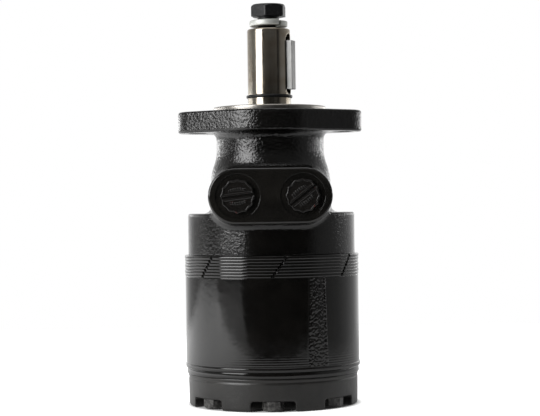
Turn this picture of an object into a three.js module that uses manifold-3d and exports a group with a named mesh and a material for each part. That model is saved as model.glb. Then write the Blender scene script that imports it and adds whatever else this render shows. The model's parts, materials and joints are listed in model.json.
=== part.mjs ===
// Orbital (roller gear set) hydraulic motor, seven-bolt round stack, with a two-bolt flange.
// Millimetres. The origin is the centre of the end cover's outer face, +Z runs along the output
// shaft towards its free end, and the two ports open towards -Y.

import * as THREE from 'three';
import { mergeVertices } from 'three/addons/utils/BufferGeometryUtils.js';
import Module from 'manifold-3d';

const wasm = await Module();
wasm.setup();

// ---------------------------------------------------------------- driving dimensions

const DEG = Math.PI / 180;
const FRONT = -90 * DEG;            // direction of the ports, from +X

// the stack, from the end cover up
const COVER_R = 62.25;
const COVER_H = 23.25;
const BACKING_R = 63.25;
const BACKING_H = 5;
const BALANCE_H = 2.5;
const STACK_R = 63.75;
const STATOR_H = 63.75;
const MANIFOLD_H = 15;
const PLATE_COUNT = 7;
const PLATE_H = MANIFOLD_H / PLATE_COUNT;

const BACKING_Z = COVER_H;
const BALANCE_Z = BACKING_Z + BACKING_H;
const STATOR_Z = BALANCE_Z + BALANCE_H;
const MANIFOLD_Z = STATOR_Z + STATOR_H;
const HOUSING_Z = MANIFOLD_Z + MANIFOLD_H;

// seven cover bolts, 3/8 inch
const BOLT_COUNT = 7;
const BOLT_STEP = 360 * DEG / BOLT_COUNT;
const BOLT_CIRCLE = 54;
const BOLT_R = 4.75;
const BOLT_HOLE_R = 5;
const BOLT_HEX = 14.3;
const POCKET_R = 16.5;
const POCKET_H = 7.5;
const BOLT_HEAD_LOW = 1;
const BOLT_END_Z = 128;
const BOLT_SIDES = 6;

// roller gear set: six lobes turning inside seven rollers
const LOBES = 6;
const ROLLER_CIRCLE = 37;
const ROLLER_R = 8.25;
const ECCENTRICITY = 3.25;
const GEAR_GAP = 0.25;              // between rotor and rollers, and rollers and pockets
const STATOR_BORE_R = 36;
const FACE_GAP = 0.25;              // at each end of the rotor and the rollers

// splines between rotor, drive link and shaft
const SPLINE_TEETH = 12;
const SPLINE_MINOR = 15.5;
const SPLINE_MAJOR = 18;
const SPLINE_GAP = 0.6;

// body seals, between the roller pockets and the bolts
const SEAL_INNER = 46.25;
const SEAL_OUTER = 48.25;
const SEAL_H = 1.5;
const SEAL_GAP = 0.25;

// housing
const SKIRT_R = 61.25;
const SKIRT_TOP = 140;
const WAIST_R = 44;
const WAIST_TOP = 169.5;
const NECK_R = 39.5;
const NECK_LOW = 180;
const FLANGE_Z = 199;
const FLANGE_TOP = 214.75;
const FLANGE_R = 46.5;
const EAR_X = 49.3;                 // centre of the arc round each ear
const EAR_R = 18.3;
const EAR_HOLE_X = 53.2;            // half of the 106.4 bolt spacing
const EAR_HOLE_R = 7.15;
const PILOT_R = 41.275;             // 82.55 pilot
const PILOT_TOP = 217.5;
const CAVITY_R = 30.25;
const CAVITY_TOP = 157;
const BEARING_BORE_R = 25.75;
const BEARING_BORE_TOP = 195;
const LIP_R = 20;
const DUST_BORE_R = 22.5;
const DUST_BORE_Z = 208;

// ports
const BOSS_FACE = -66;
const BOSS_WIDTH = 87.5;
const BOSS_HEIGHT = 39.5;
const PORT_Z = 152;
const PORT_X = 22.9;
const PORT_R = 10.2;
const PORT_DEPTH = 16;
const SPOTFACE_R = 15.75;
const SPOTFACE_DEPTH = 0.75;
const SEAT_R = 11.5;
const SEAT_DEPTH = 2.5;
const GALLERY_R = 4.5;
const GALLERY_CIRCLE = 38;          // distance of the downward gallery from the axis

// shaft
const SHAFT_R = 15.875;             // 1 1/4 inch
const SHAFT_TOP = 275.25;
const JOURNAL_R = 19.05;
const JOURNAL_TOP = 200;
const DRUM_R = 25;
const DRUM_Z = 112;
const DRUM_TOP = 150;
const SOCKET_TOP = 150;
const KEY_ANGLE = -20 * DEG;
const KEY_WIDTH = 7.94;
const KEY_LOW = 230.5;
const KEY_HIGH = 266.25;
const KEY_OUTER = 19.4;
const KEYWAY_WIDTH = 9.5;
const KEYWAY_FLOOR = 11.25;
const KEYWAY_LOW = 227;
const KEYWAY_HIGH = 271.5;
const RING_LOW = 224.9;
const RING_HIGH = 226.1;
const RING_OUTER = 16.35;
const RING_GROOVE_R = 14.9;

// bolt and washer in the shaft's end, 5/8 inch
const END_BOLT_R = 7.9;
const END_HOLE_R = 8.2;
const END_BOLT_LOW = 246;
const END_HOLE_LOW = 243;
const END_HEAD_LOW = 284.25;
const END_HEAD_TOP = 293.4;
const END_HEX = 23.8;
const END_HEAD_TURN = -8.7 * DEG;
const WASHER_INNER = 8.4;
const WASHER_OUTER = 13.5;
const WASHER_H = 3.8;
const WASHER_LOW = 277.25;

// drive link, leaning from the shaft's axis to the rotor's
const LINK_TOP_Z = 136;             // centre of its upper spline, on the shaft's axis
const LINK_LOW_Z = 50;              // centre of its lower spline, on the rotor's axis
const LINK_TOOTH_HALF = 9;
const LINK_WAIST_R = 12;

// ---------------------------------------------------------------- finishes

const finishes = {
  paint: { color: 0x16150f, roughness: 0.3, metalness: 0 },
  steel: { color: 0x77736c, roughness: 0.3, metalness: 1 },
  zinc: { color: 0xb6bcc4, roughness: 0.35, metalness: 1 },
  oxide: { color: 0x1d1c1b, roughness: 0.4, metalness: 1 },
  rubber: { color: 0x151515, roughness: 0.8, metalness: 0 },
  plastic: { color: 0x1a1413, roughness: 0.45, metalness: 0 },
};

// ---------------------------------------------------------------- geometry helpers

// Merges a geometry's vertices, drops flat triangles and turns the faces outwards.
function closed(geometry) {
  const bare = geometry.clone();
  bare.deleteAttribute('normal');
  bare.deleteAttribute('uv');
  const merged = mergeVertices(bare, 1e-4);
  const p = merged.attributes.position.array;
  const source = merged.index.array;
  const faces = [];
  let volume = 0;
  for (let i = 0; i < source.length; i += 3) {
    const [a, b, c] = [source[i], source[i + 1], source[i + 2]];
    if (a === b || b === c || c === a) continue;
    faces.push(a, b, c);
    const va = new THREE.Vector3().fromArray(p, 3 * a);
    const vb = new THREE.Vector3().fromArray(p, 3 * b);
    const vc = new THREE.Vector3().fromArray(p, 3 * c);
    volume += va.dot(vb.cross(vc));
  }
  if (volume < 0) {
    for (let i = 0; i < faces.length; i += 3) {
      [faces[i], faces[i + 1]] = [faces[i + 1], faces[i]];
    }
  }
  return { vertProperties: new Float32Array(p), triVerts: new Uint32Array(faces) };
}

function solid(geometry) {
  return new wasm.Manifold(new wasm.Mesh({ numProp: 3, ...closed(geometry) }));
}

function geometryOf(body) {
  const mesh = body.getMesh();
  const geometry = new THREE.BufferGeometry();
  geometry.setAttribute('position', new THREE.BufferAttribute(mesh.vertProperties.slice(), 3));
  geometry.setIndex(new THREE.BufferAttribute(mesh.triVerts.slice(), 1));
  geometry.computeVertexNormals();
  return geometry;
}

// A cylinder along Z between two heights.
function rod(radius, low, high, sides = 28, x = 0, y = 0) {
  const geometry = new THREE.CylinderGeometry(radius, radius, high - low, sides);
  geometry.rotateX(90 * DEG);
  geometry.translate(x, y, (low + high) / 2);
  return solid(geometry);
}

// A cylinder along Y between two depths.
function crossRod(radius, front, back, sides, x, z) {
  const geometry = new THREE.CylinderGeometry(radius, radius, back - front, sides);
  geometry.translate(x, (front + back) / 2, z);
  return solid(geometry);
}

function block(width, depth, height, x, y, z) {
  const geometry = new THREE.BoxGeometry(width, depth, height);
  geometry.translate(x, y, z);
  return solid(geometry);
}

// A profile of [radius, height] points turned round Z.
function turned(profile, sides = 48) {
  const points = profile.map(([r, z]) => new THREE.Vector2(r, z));
  const geometry = new THREE.LatheGeometry(points, sides);
  geometry.rotateX(90 * DEG);
  return solid(geometry);
}

function ring(inner, outer, low, high, sides = 24) {
  return turned([[inner, low], [outer, low], [outer, high], [inner, high], [inner, low]], sides);
}

// An outline raised along Z between two heights.
function prism(shape, low, high, curveSegments = 6) {
  const geometry = new THREE.ExtrudeGeometry(shape, {
    depth: high - low, bevelEnabled: false, curveSegments,
  });
  geometry.translate(0, 0, low);
  return solid(geometry);
}

function outline(points) {
  return new THREE.Shape(points.map(([x, y]) => new THREE.Vector2(x, y)));
}

function polar(radius, angle) {
  return [radius * Math.cos(angle), radius * Math.sin(angle)];
}

function boltPlace(index, radius = BOLT_CIRCLE) {
  return polar(radius, FRONT + index * BOLT_STEP);
}

function rollerPlace(index) {
  return polar(ROLLER_CIRCLE, FRONT + (index + 0.5) * BOLT_STEP);
}

// Cuts the seven bolt holes between two heights.
function drilled(body, low, high, radius = BOLT_HOLE_R) {
  let result = body;
  for (let i = 0; i < BOLT_COUNT; i += 1) {
    const [x, y] = boltPlace(i);
    result = result.subtract(rod(radius, low, high, BOLT_SIDES, x, y));
  }
  return result;
}

// A toothed outline: straight-sided teeth between a root and a tip radius. The socket's
// outline is larger all round by a running gap.
function splineOutline(isSocket) {
  const gap = isSocket ? SPLINE_GAP : 0;
  const root = SPLINE_MINOR + gap;
  const tip = SPLINE_MAJOR + gap;
  const step = 360 * DEG / SPLINE_TEETH;
  const slack = gap / SPLINE_MAJOR / 1.2;
  const rootHalf = 0.31 * step + slack;
  const tipHalf = 0.17 * step + slack;
  const points = [];
  for (let i = 0; i < SPLINE_TEETH; i += 1) {
    const at = i * step;
    points.push(polar(root, at - rootHalf), polar(tip, at - tipHalf));
    points.push(polar(tip, at + tipHalf), polar(root, at + rootHalf));
  }
  return outline(points);
}

const group = new THREE.Group();

function add(name, body, finish, place = {}) {
  const material = new THREE.MeshStandardMaterial(finishes[finish]);
  const mesh = new THREE.Mesh(geometryOf(body), material);
  mesh.name = name;
  mesh.position.set(...(place.position ?? [0, 0, 0]));
  mesh.rotation.set(...(place.rotation ?? [0, 0, 0]));
  group.add(mesh);
}

// ---------------------------------------------------------------- end cover and thin plates

function sealGroove(low, high) {
  return ring(SEAL_INNER - 0.25, SEAL_OUTER + 0.25, low, high, 28);
}

function endCover() {
  const round = 1.5;
  let body = turned([
    [0, 0], [COVER_R - round, 0], [COVER_R, round], [COVER_R, COVER_H], [0, COVER_H],
  ]);
  for (let i = 0; i < BOLT_COUNT; i += 1) {
    const [x, y] = boltPlace(i);
    body = body.subtract(rod(POCKET_R, -1, POCKET_H, 18, x, y));
  }
  body = body.subtract(sealGroove(COVER_H - SEAL_H - SEAL_GAP, COVER_H + 1));
  return drilled(body, POCKET_H - 1, COVER_H + 1);
}

function backingPlate() {
  const top = BACKING_Z + BACKING_H;
  return drilled(rod(BACKING_R, BACKING_Z, top, 48), BACKING_Z - 1, top + 1);
}

function balancePlate() {
  return drilled(rod(STACK_R, BALANCE_Z, STATOR_Z, 48), BALANCE_Z - 1, STATOR_Z + 1);
}

function bodySeal(low) {
  return ring(SEAL_INNER, SEAL_OUTER, low, low + SEAL_H, 28);
}

// ---------------------------------------------------------------- roller gear set

function stator() {
  let body = rod(STACK_R, STATOR_Z, MANIFOLD_Z, 56);
  body = body.subtract(rod(STATOR_BORE_R, STATOR_Z - 1, MANIFOLD_Z + 1, 42));
  for (let i = 0; i < BOLT_COUNT; i += 1) {
    const [x, y] = rollerPlace(i);
    const pocket = rod(ROLLER_R + GEAR_GAP, STATOR_Z - 1, MANIFOLD_Z + 1, 16, x, y);
    body = body.subtract(pocket);
  }
  body = body.subtract(sealGroove(STATOR_Z - 1, STATOR_Z + SEAL_H + SEAL_GAP));
  return drilled(body, STATOR_Z - 1, MANIFOLD_Z + 1);
}

function roller() {
  return rod(ROLLER_R, STATOR_Z + FACE_GAP, MANIFOLD_Z - FACE_GAP, 16);
}

// The rotor's outline is the path of a roller's centre in the rotor's own frame, moved in by
// the roller's radius and a gap. The path is R e^(it) + E e^(i(n+1)t) for n lobes.
class RotorOutline extends THREE.Curve {
  getPoint(fraction, target = new THREE.Vector2()) {
    const t = fraction * 360 * DEG;
    const turns = LOBES + 1;
    const x = ROLLER_CIRCLE * Math.cos(t) + ECCENTRICITY * Math.cos(turns * t);
    const y = ROLLER_CIRCLE * Math.sin(t) + ECCENTRICITY * Math.sin(turns * t);
    const dx = -ROLLER_CIRCLE * Math.sin(t) - turns * ECCENTRICITY * Math.sin(turns * t);
    const dy = ROLLER_CIRCLE * Math.cos(t) + turns * ECCENTRICITY * Math.cos(turns * t);
    const inward = (ROLLER_R + GEAR_GAP) / Math.hypot(dx, dy);
    return target.set(x - dy * inward, y + dx * inward);
  }
}

// Its points are evenly spaced along the outline, so that no chord cuts into a roller's path.
function rotor() {
  const steps = LOBES * 12;
  const curve = new RotorOutline();
  curve.arcLengthDivisions = steps * 20;
  const points = curve.getSpacedPoints(steps).slice(0, steps);
  const low = STATOR_Z + FACE_GAP;
  const high = MANIFOLD_Z - FACE_GAP;
  const bore = prism(splineOutline(true), low - 1, high + 1);
  let body = prism(new THREE.Shape(points), low, high).subtract(bore);
  const valveCircle = 22.75;
  const valveRadius = 1.75;
  for (let i = 0; i < LOBES; i += 1) {
    const [x, y] = polar(valveCircle, (i + 0.5) * 360 * DEG / LOBES);
    body = body.subtract(rod(valveRadius, low - 1, high + 1, 5, x, y));
  }
  return body;
}

function driveSpacer() {
  const low = STATOR_Z + FACE_GAP;
  return rod(SPLINE_MINOR - 2, low, low + 4, 20);
}

// Modelled about its own middle, along Z, and leaned into place by its mesh's rotation.
function driveLink() {
  const half = (LINK_TOP_Z - LINK_LOW_Z) / 2;
  const teeth = splineOutline(false);
  const lower = prism(teeth, -half - LINK_TOOTH_HALF, -half + LINK_TOOTH_HALF);
  const upper = prism(teeth, half - LINK_TOOTH_HALF, half + LINK_TOOTH_HALF);
  return rod(LINK_WAIST_R, -half, half, 12).add(lower).add(upper);
}

// ---------------------------------------------------------------- laminated manifold

// Each plate has one notch at each of seven places on its rim. The notches step round from
// plate to plate, so that the stack shows seven slanting rows.
function manifoldPlate(index) {
  const high = HOUSING_Z - index * PLATE_H;
  const low = high - PLATE_H;
  const boreRadius = 24;
  const notchTop = 9.5 * DEG;
  const notchStep = 1.45 * DEG;
  const notchHalf = 0.8 * DEG;
  const notchDepth = 1;
  const arcPoints = 5;
  const points = [];
  for (let i = 0; i < BOLT_COUNT; i += 1) {
    const at = FRONT + notchTop - index * notchStep + i * BOLT_STEP;
    points.push(polar(STACK_R - notchDepth, at));
    const from = at + notchHalf;
    const span = BOLT_STEP - 2 * notchHalf;
    for (let j = 0; j <= arcPoints; j += 1) {
      points.push(polar(STACK_R, from + span * j / arcPoints));
    }
  }
  let body = prism(outline(points), low, high).subtract(rod(boreRadius, low - 1, high + 1, 14));
  // a fluid passage for each roller pocket, stepping round and outwards from plate to plate
  const passageTurn = (index - (PLATE_COUNT - 1) / 2) * 4 * DEG;
  const passageCircle = 32.5 + index;
  const passageRadius = 4;
  for (let i = 0; i < BOLT_COUNT; i += 1) {
    const [x, y] = polar(passageCircle, FRONT + (i + 0.5) * BOLT_STEP + passageTurn);
    body = body.subtract(rod(passageRadius, low - 1, high + 1, 4, x, y));
  }
  if (index === PLATE_COUNT - 1) {
    body = body.subtract(sealGroove(low - 1, low + SEAL_H + SEAL_GAP));
  }
  return drilled(body, low - 1, high + 1);
}

// ---------------------------------------------------------------- housing

function flangeOutline() {
  const tangent = Math.acos((FLANGE_R - EAR_R) / EAR_X);
  const shape = new THREE.Shape();
  shape.absarc(EAR_X, 0, EAR_R, -tangent, tangent, false);
  shape.absarc(0, 0, FLANGE_R, tangent, Math.PI - tangent, false);
  shape.absarc(-EAR_X, 0, EAR_R, Math.PI - tangent, Math.PI + tangent, false);
  shape.absarc(0, 0, FLANGE_R, Math.PI + tangent, 2 * Math.PI - tangent, false);
  shape.closePath();
  return shape;
}

function flange() {
  const edge = 1.5;
  const geometry = new THREE.ExtrudeGeometry(flangeOutline(), {
    depth: FLANGE_TOP - FLANGE_Z - 2 * edge,
    bevelEnabled: true,
    bevelThickness: edge,
    bevelSize: edge,
    bevelOffset: -edge,
    bevelSegments: 1,
    curveSegments: 7,
  });
  geometry.translate(0, 0, FLANGE_Z + edge);
  return solid(geometry);
}

// The raised boss that both ports open through: a long round-ended outline, pushed back into
// the housing along +Y.
function portBoss() {
  const straight = (BOSS_WIDTH - BOSS_HEIGHT) / 2;
  const radius = BOSS_HEIGHT / 2;
  const shape = new THREE.Shape();
  shape.absarc(straight, 0, radius, -90 * DEG, 90 * DEG, false);
  shape.absarc(-straight, 0, radius, 90 * DEG, 270 * DEG, false);
  shape.closePath();
  const edge = 1;
  const back = -8;
  const geometry = new THREE.ExtrudeGeometry(shape, {
    depth: back - BOSS_FACE - 2 * edge,
    bevelEnabled: true,
    bevelThickness: edge,
    bevelSize: edge,
    bevelOffset: -edge,
    bevelSegments: 1,
    curveSegments: 9,
  });
  geometry.rotateX(90 * DEG);
  geometry.translate(0, back - edge, PORT_Z);
  return solid(geometry);
}

function casting() {
  const outer = turned([
    [0, HOUSING_Z], [SKIRT_R, HOUSING_Z], [SKIRT_R, SKIRT_TOP - 1.5], [SKIRT_R - 1.5, SKIRT_TOP],
    [WAIST_R + 2, SKIRT_TOP], [WAIST_R, SKIRT_TOP + 3], [WAIST_R, WAIST_TOP],
    [NECK_R, NECK_LOW],
    [NECK_R, FLANGE_Z - 3], [NECK_R + 3, FLANGE_Z], [NECK_R + 3, FLANGE_Z + 1], [0, FLANGE_Z + 1],
  ]);
  const pilot = turned([
    [0, FLANGE_TOP - 1], [PILOT_R, FLANGE_TOP - 1], [PILOT_R, PILOT_TOP - 0.75],
    [PILOT_R - 0.75, PILOT_TOP], [0, PILOT_TOP],
  ], 40);
  return outer.add(flange()).add(pilot).add(portBoss());
}

function port(x) {
  const spotface = crossRod(SPOTFACE_R, BOSS_FACE - 1, BOSS_FACE + SPOTFACE_DEPTH, 20, x, PORT_Z);
  const seatEnd = BOSS_FACE + SPOTFACE_DEPTH + SEAT_DEPTH;
  const seat = crossRod(SEAT_R, BOSS_FACE - 1, seatEnd, 16, x, PORT_Z);
  const thread = crossRod(PORT_R, BOSS_FACE - 1, BOSS_FACE + PORT_DEPTH, 16, x, PORT_Z);
  return spotface.add(seat).add(thread);
}

// The left port opens into the bore round the shaft, the right one turns down to the manifold.
function galleries() {
  const from = BOSS_FACE + PORT_DEPTH - 1;
  const left = crossRod(GALLERY_R, from, -12, 8, -PORT_X, PORT_Z);
  const depth = -Math.sqrt(GALLERY_CIRCLE ** 2 - PORT_X ** 2);
  const right = crossRod(GALLERY_R, from, depth, 8, PORT_X, PORT_Z);
  const down = rod(GALLERY_R, HOUSING_Z - 1, PORT_Z + GALLERY_R - 0.5, 8, PORT_X, depth);
  return left.add(right).add(down);
}

function bores() {
  return turned([
    [0, HOUSING_Z - 1], [CAVITY_R, HOUSING_Z - 1], [CAVITY_R, CAVITY_TOP],
    [BEARING_BORE_R, CAVITY_TOP], [BEARING_BORE_R, BEARING_BORE_TOP], [LIP_R, BEARING_BORE_TOP],
    [LIP_R, DUST_BORE_Z], [DUST_BORE_R, DUST_BORE_Z], [DUST_BORE_R, PILOT_TOP + 1],
    [0, PILOT_TOP + 1],
  ], 28);
}

function housing() {
  let body = casting().subtract(bores());
  body = body.subtract(port(-PORT_X)).subtract(port(PORT_X)).subtract(galleries());
  for (const side of [-1, 1]) {
    const hole = rod(EAR_HOLE_R, FLANGE_Z - 1, FLANGE_TOP + 1, 16, side * EAR_HOLE_X, 0);
    body = body.subtract(hole);
  }
  body = body.subtract(sealGroove(HOUSING_Z - 1, HOUSING_Z + SEAL_H + SEAL_GAP));
  return drilled(body, HOUSING_Z - 1, BOLT_END_Z + 1);
}

// ---------------------------------------------------------------- bearings and seals

// A cage with its rollers, as one toothed ring.
function rollerCage(inner, outer, low, high, count) {
  const bar = 0.6;
  const points = [];
  const step = 360 * DEG / count;
  for (let i = 0; i < count; i += 1) {
    points.push(polar(outer, (i - 0.22) * step), polar(outer, (i + 0.22) * step));
    points.push(polar(outer - bar, (i + 0.3) * step), polar(outer - bar, (i + 0.7) * step));
  }
  const bore = inner / Math.cos(step / 2);
  return prism(outline(points), low, high).subtract(rod(bore, low - 1, high + 1, count));
}

const FRONT_CUP = { inner: 24, outer: 25.5, low: 160, high: 184 };
const FRONT_CAGE = { inner: 19.4, outer: 23.7, low: 161, high: 183, count: 14 };
const REAR_CUP = { inner: 28.5, outer: 30, low: 120, high: 144 };
const REAR_CAGE = { inner: 25.4, outer: 28.2, low: 121, high: 143, count: 18 };
const THRUST = { inner: 20.25, outer: 29.5, low: DRUM_TOP, washer: 2, cage: 3, count: 12 };
const SHAFT_SEAL = { inner: JOURNAL_R + 0.3, outer: BEARING_BORE_R - 0.3, low: 186, high: 192 };
const SEAL_WASHER = { inner: JOURNAL_R + 0.5, outer: BEARING_BORE_R - 0.3, low: 192.5, high: 194.5 };
const DUST_SEAL = { inner: SHAFT_R + 0.3, outer: DUST_BORE_R - 0.3, low: 210, high: 216.5 };

function ringOf({ inner, outer, low, high }) {
  return ring(inner, outer, low, high);
}

function cageOf({ inner, outer, low, high, count }) {
  return rollerCage(inner, outer, low, high, count);
}

function thrustRing(low, height) {
  return ring(THRUST.inner, THRUST.outer, low, low + height, 24);
}

function thrustCage() {
  const low = THRUST.low + THRUST.washer;
  return rollerCage(THRUST.inner + 0.5, THRUST.outer - 0.25, low, low + THRUST.cage, THRUST.count);
}

// ---------------------------------------------------------------- shaft and what is on it

// The keyway is milled with round ends.
function keyway() {
  const reach = KEY_OUTER + 2 - KEYWAY_FLOOR;
  const half = KEYWAY_WIDTH / 2;
  const shape = new THREE.Shape();
  shape.absarc(0, KEYWAY_HIGH - half, half, 0, 180 * DEG, false);
  shape.absarc(0, KEYWAY_LOW + half, half, 180 * DEG, 360 * DEG, false);
  shape.closePath();
  const geometry = new THREE.ExtrudeGeometry(shape, {
    depth: reach, bevelEnabled: false, curveSegments: 8,
  });
  // the outline's height becomes Z, and its depth the direction out of the shaft
  geometry.rotateX(90 * DEG);
  geometry.rotateZ(90 * DEG);
  geometry.translate(KEYWAY_FLOOR, 0, 0);
  geometry.rotateZ(KEY_ANGLE);
  return solid(geometry);
}

// The key is square-ended.
function shaftKey() {
  const inner = KEYWAY_FLOOR + 0.25;
  const geometry = new THREE.BoxGeometry(KEY_OUTER - inner, KEY_WIDTH, KEY_HIGH - KEY_LOW);
  geometry.translate((KEY_OUTER + inner) / 2, 0, (KEY_HIGH + KEY_LOW) / 2);
  geometry.rotateZ(KEY_ANGLE);
  return solid(geometry);
}

function outputShaft() {
  const chamfer = 1.5;
  let body = turned([
    [0, DRUM_Z], [DRUM_R - 1, DRUM_Z], [DRUM_R, DRUM_Z + 1], [DRUM_R, DRUM_TOP],
    [JOURNAL_R, DRUM_TOP], [JOURNAL_R, JOURNAL_TOP - 1.5], [SHAFT_R, JOURNAL_TOP],
    [SHAFT_R, RING_LOW - 0.25], [RING_GROOVE_R, RING_LOW - 0.25],
    [RING_GROOVE_R, RING_HIGH + 0.25], [SHAFT_R, RING_HIGH + 0.25],
    [SHAFT_R, SHAFT_TOP - chamfer], [SHAFT_R - chamfer, SHAFT_TOP], [0, SHAFT_TOP],
  ], 28);
  body = body.subtract(prism(splineOutline(true), DRUM_Z - 1, SOCKET_TOP));
  body = body.subtract(rod(END_HOLE_R, END_HOLE_LOW, SHAFT_TOP + 1, 16));
  return body.subtract(keyway());
}

// A flat ring with a gap in it.
function retainingRing() {
  const gapWidth = 8;
  const gapDepth = 6;
  const body = ring(RING_GROOVE_R + 0.25, RING_OUTER, RING_LOW, RING_HIGH, 28);
  const height = 3 * (RING_HIGH - RING_LOW);
  return body.subtract(block(gapWidth, gapDepth, height, 0, RING_OUTER, (RING_LOW + RING_HIGH) / 2));
}

function lockWasher() {
  const body = ring(WASHER_INNER, WASHER_OUTER, WASHER_LOW, WASHER_LOW + WASHER_H, 28);
  const slitWidth = 1;
  const slitLean = 25 * DEG;
  const slitAngle = -50 * DEG;
  const slitLength = 8;
  const slit = new THREE.BoxGeometry(slitLength, slitWidth, 3 * WASHER_H);
  slit.rotateX(slitLean);
  slit.translate(WASHER_OUTER - 2, 0, WASHER_LOW + WASHER_H / 2);
  slit.rotateZ(slitAngle);
  return body.subtract(solid(slit));
}

// A hex head with its corners cut back by a cone, and a round shank.
function hexHead(acrossFlats, low, high, chamferHigh, turn) {
  const corner = acrossFlats / Math.sqrt(3);
  const geometry = new THREE.CylinderGeometry(corner, corner, high - low, 6);
  geometry.rotateX(90 * DEG);
  geometry.rotateZ(turn);
  geometry.translate(0, 0, (low + high) / 2);
  const flat = acrossFlats / 2 - 0.3;
  const drop = (corner - flat) * 0.5;
  const cone = chamferHigh
    ? [[0, low - 1], [corner + 1, low - 1], [corner + 1, high - drop - 0.5], [flat, high], [0, high]]
    : [[0, high + 1], [corner + 1, high + 1], [corner + 1, low + drop + 0.5], [flat, low], [0, low]];
  return solid(geometry).intersect(turned(cone, 12));
}

function endBolt() {
  const head = hexHead(END_HEX, END_HEAD_LOW, END_HEAD_TOP, true, END_HEAD_TURN);
  return head.add(rod(END_BOLT_R, END_BOLT_LOW, END_HEAD_LOW + 1, 16));
}

function coverBolt(index) {
  const head = hexHead(BOLT_HEX, BOLT_HEAD_LOW, POCKET_H, false, index * BOLT_STEP);
  return head.add(rod(BOLT_R, POCKET_H - 1, BOLT_END_Z, BOLT_SIDES));
}

// ---------------------------------------------------------------- port plugs

const PLUG = { radius: 12.15, dip: 0.8, points: 12, head: 3, stub: 9.8, stubLength: 13 };
const PLUG_BACK = BOSS_FACE + SPOTFACE_DEPTH;

// The head's rim has points with hollows between them, for fingers, and one slot.
function portPlug(slotAngle) {
  const slotWidth = 1.8;
  const slotDepth = 1.5;
  const steps = PLUG.points * 3;
  const points = [];
  for (let i = 0; i < steps; i += 1) {
    const at = i * 360 * DEG / steps;
    const radius = PLUG.radius - PLUG.dip * Math.abs(Math.sin(PLUG.points * at / 2));
    points.push(polar(radius, at));
  }
  let body = prism(outline(points), 0, PLUG.head);
  const slot = new THREE.BoxGeometry(2 * PLUG.radius + 2, slotWidth, 2 * slotDepth);
  slot.rotateZ(slotAngle);
  slot.translate(0, 0, PLUG.head);
  body = body.subtract(solid(slot));
  return body.add(rod(PLUG.stub, -PLUG.stubLength, 1, 16));
}

function plugSeal() {
  return ring(PLUG.stub + 0.25, SEAT_R - 0.25, -2.25, -0.25, 16);
}

// ---------------------------------------------------------------- assembly

add('end_cover', endCover(), 'paint');
add('backing_plate', backingPlate(), 'paint');
add('balance_plate', balancePlate(), 'paint');
add('stator', stator(), 'paint');
for (let i = 0; i < PLATE_COUNT; i += 1) add(`manifold_plate_${i + 1}`, manifoldPlate(i), 'paint');
add('housing', housing(), 'paint');

for (let i = 0; i < BOLT_COUNT; i += 1) {
  const [x, y] = boltPlace(i);
  add(`cover_bolt_${i + 1}`, coverBolt(i), 'oxide', { position: [x, y, 0] });
}

add('cover_seal', bodySeal(COVER_H - SEAL_H), 'rubber');
add('lower_stator_seal', bodySeal(STATOR_Z), 'rubber');
add('upper_stator_seal', bodySeal(MANIFOLD_Z), 'rubber');
add('housing_seal', bodySeal(HOUSING_Z), 'rubber');

for (let i = 0; i < BOLT_COUNT; i += 1) {
  const [x, y] = rollerPlace(i);
  add(`roller_${i + 1}`, roller(), 'steel', { position: [x, y, 0] });
}
add('rotor', rotor(), 'steel', { position: [0, ECCENTRICITY, 0] });
add('drive_spacer', driveSpacer(), 'steel', { position: [0, ECCENTRICITY, 0] });

const linkLean = Math.atan2(ECCENTRICITY, LINK_TOP_Z - LINK_LOW_Z);
add('drive_link', driveLink(), 'steel', {
  position: [0, ECCENTRICITY / 2, (LINK_TOP_Z + LINK_LOW_Z) / 2],
  rotation: [linkLean, 0, 0],
});

add('rear_bearing_cup', ringOf(REAR_CUP), 'steel');
add('rear_bearing_cage', cageOf(REAR_CAGE), 'steel');
add('front_bearing_cup', ringOf(FRONT_CUP), 'steel');
add('front_bearing_cage', cageOf(FRONT_CAGE), 'steel');
add('thrust_washer_lower', thrustRing(THRUST.low, THRUST.washer), 'steel');
add('thrust_bearing_cage', thrustCage(), 'steel');
add('thrust_washer_upper', thrustRing(THRUST.low + THRUST.washer + THRUST.cage, THRUST.washer), 'steel');
add('shaft_seal', ringOf(SHAFT_SEAL), 'rubber');
add('seal_washer', ringOf(SEAL_WASHER), 'steel');
add('dust_seal', ringOf(DUST_SEAL), 'rubber');

add('output_shaft', outputShaft(), 'steel');
add('shaft_key', shaftKey(), 'zinc');
add('retaining_ring', retainingRing(), 'oxide');
add('lock_washer', lockWasher(), 'zinc');
add('shaft_end_bolt', endBolt(), 'oxide');

for (const [side, x, slotAngle] of [['left', -PORT_X, 7 * DEG], ['right', PORT_X, 38 * DEG]]) {
  const place = { position: [x, PLUG_BACK, PORT_Z], rotation: [90 * DEG, 0, 0] };
  add(`port_plug_${side}`, portPlug(slotAngle), 'plastic', place);
  add(`port_plug_seal_${side}`, plugSeal(), 'rubber', place);
}

export default group;
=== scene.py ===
"""Looks of an orbital hydraulic motor: gloss black casting and stack, bare shaft, studio light.

Shapes are worked out in millimetres, in the frame's own axes, and become metres when a mesh is
made. Complex pieces are distance fields meshed with OpenVDB; round ones are turned or lofted.
"""
import json
import math

import bpy
import numpy as np
import openvdb
from mathutils import Matrix, Vector


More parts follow.
